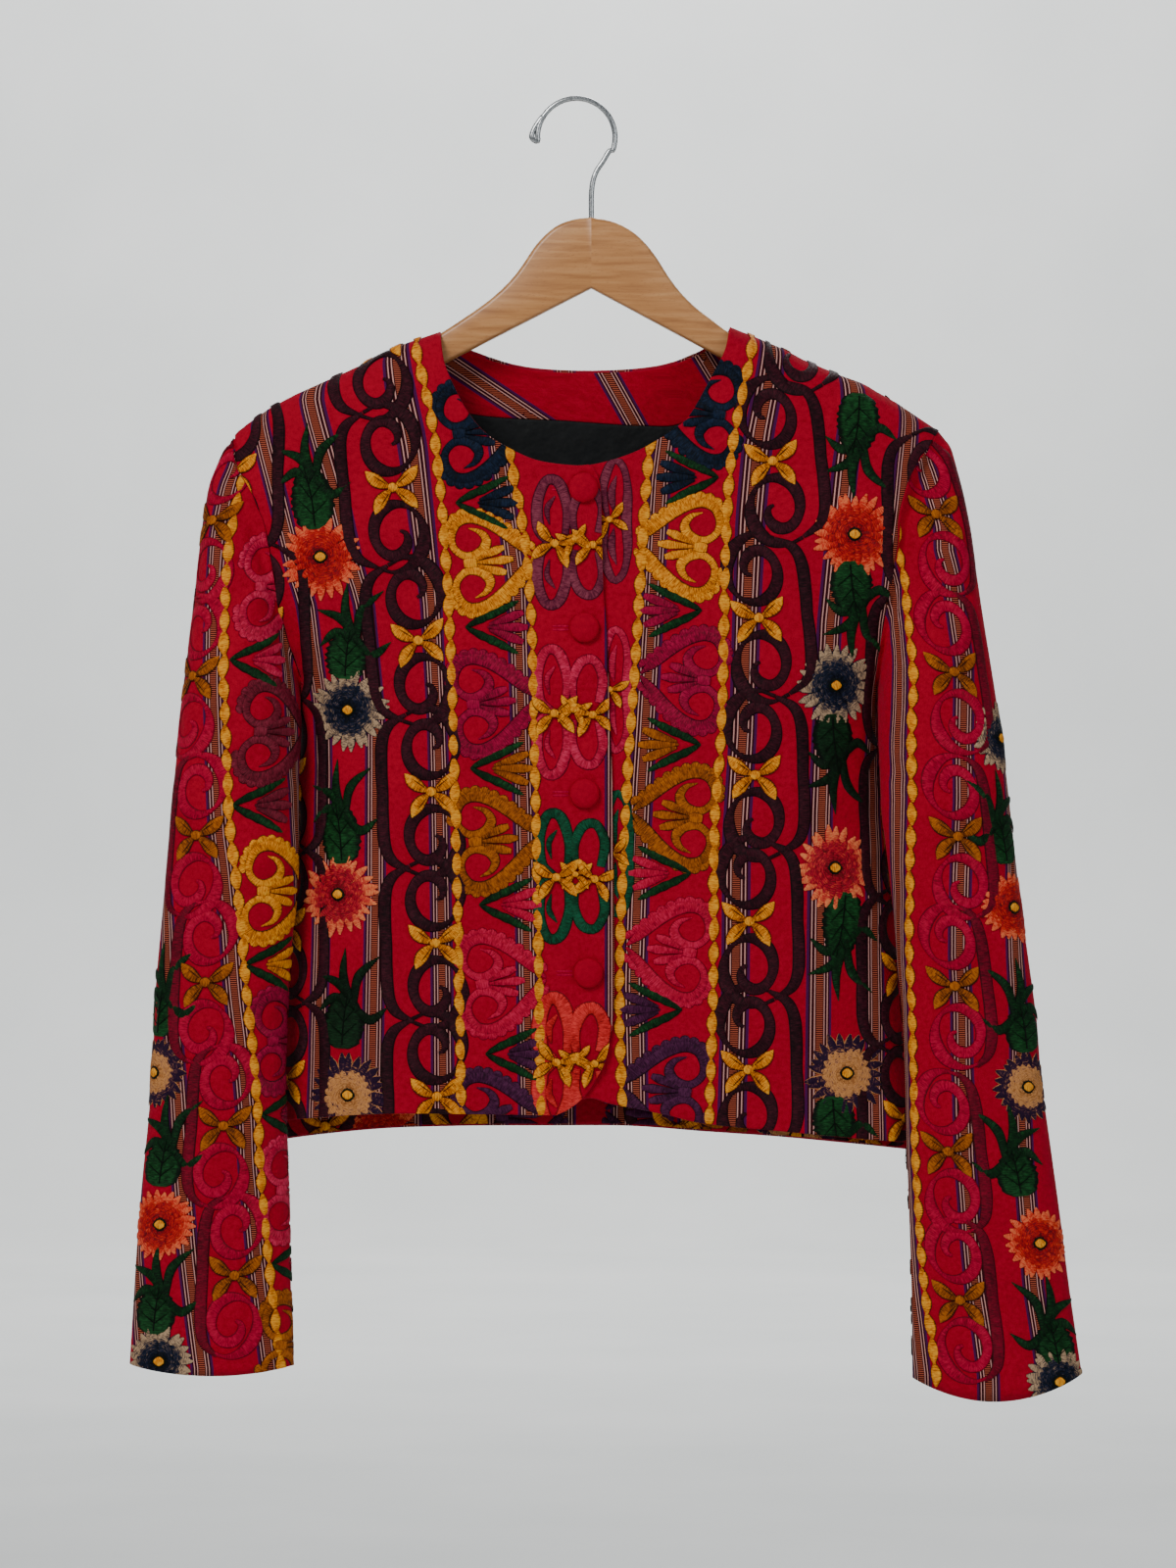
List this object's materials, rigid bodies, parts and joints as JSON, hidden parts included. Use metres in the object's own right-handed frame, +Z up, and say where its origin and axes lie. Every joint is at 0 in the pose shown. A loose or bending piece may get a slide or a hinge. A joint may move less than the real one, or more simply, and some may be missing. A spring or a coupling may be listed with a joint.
{
  "type": "cropped jacket on a hanger",
  "caption": "Cropped collarless button-front jacket of red striped cloth with all-over folk embroidery, hanging on a wooden hanger with a wire hook.",
  "frame": {"origin": "inner crown of the hanger's wire hook, where a rail or wall hook carries it", "axes": "+Z up, -Y the front of the jacket (the buttons face -Y), +X to the wearer's left"},
  "size_m": [0.6, 0.0722, 0.8164],
  "materials": {
    "embroidered_cloth": "matte",
    "embroidery_thread": "satin",
    "lining": "satin",
    "covered_button": "matte",
    "beech_wood": "satin",
    "hook_wire": "polished"
  },
  "bodies": {
    "root": {"front_right": "embroidered_cloth", "front_left": "embroidered_cloth", "back": "embroidered_cloth", "back_neck_facing": "embroidered_cloth", "back_lining": "lining", "back_hem_turn_up": "embroidered_cloth", "sleeve_right": "embroidered_cloth", "sleeve_left": "embroidered_cloth", "button_1": "covered_button", "button_2": "covered_button", "button_3": "covered_button", "button_4": "covered_button", "hanger_wood": "beech_wood", "hanger_hook": "hook_wire"}
  },
  "joints": []
}
